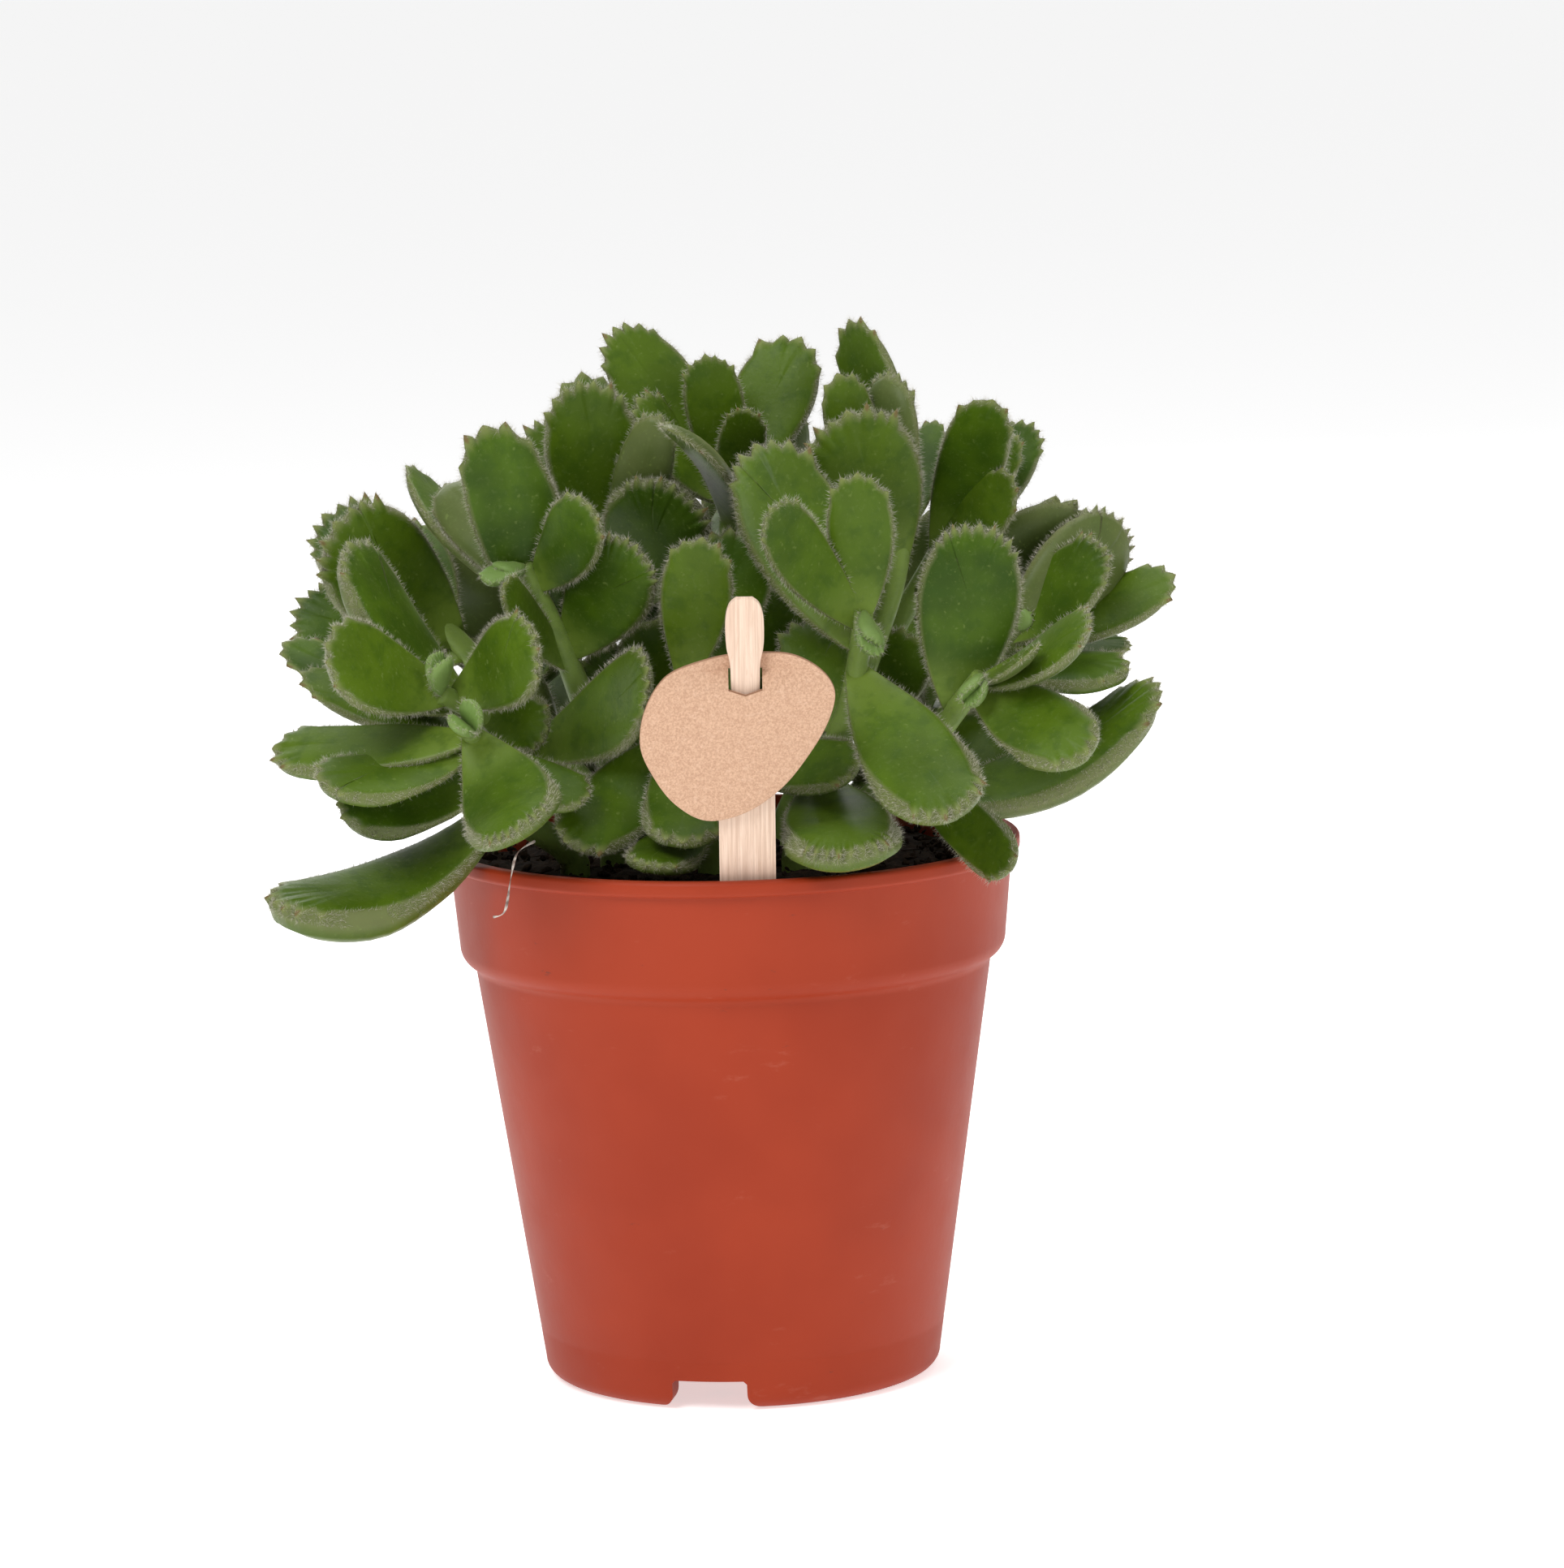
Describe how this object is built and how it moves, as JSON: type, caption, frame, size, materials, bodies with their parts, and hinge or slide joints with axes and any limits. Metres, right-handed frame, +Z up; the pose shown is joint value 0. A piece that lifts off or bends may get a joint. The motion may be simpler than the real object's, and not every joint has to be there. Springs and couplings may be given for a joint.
{
  "type": "potted cotyledon",
  "caption": "Bushy succulent with toothed, furry leaves in a round tapered plastic nursery pot, with a wooden label stick and a blank card.",
  "frame": {"origin": "centre of the pot's flat underside, which is also the bottom centre of the whole plant's box to about a millimetre", "axes": "+Z up along the pot's axis, -Y towards the viewer of the picture, +X to that viewer's right"},
  "size_m": [0.1423, 0.1164, 0.1642],
  "materials": {
    "pot_plastic": "satin terracotta-coloured moulded plastic",
    "potting_soil": "dark moist peat-based potting soil",
    "pale_wood": "bare pale wood",
    "kraft_card": "uncoated kraft board",
    "leaf": "fleshy leaf with a short velvety fur"
  },
  "bodies": {
    "root": {"pot": "pot_plastic", "soil": "potting_soil", "tag_stick": "pale_wood", "tag_card": "kraft_card", "shoot_left_low": "leaf", "shoot_left_mid": "leaf", "shoot_left_back": "leaf", "shoot_left_up": "leaf", "shoot_mid_left": "leaf", "shoot_mid_top": "leaf", "shoot_mid_front": "leaf", "shoot_right_front": "leaf", "shoot_right_top": "leaf", "shoot_right_low": "leaf", "shoot_right_up": "leaf", "shoot_right_side": "leaf", "shoot_back_1": "leaf", "shoot_back_2": "leaf", "shoot_back_3": "leaf", "shoot_back_4": "leaf"}
  },
  "joints": []
}
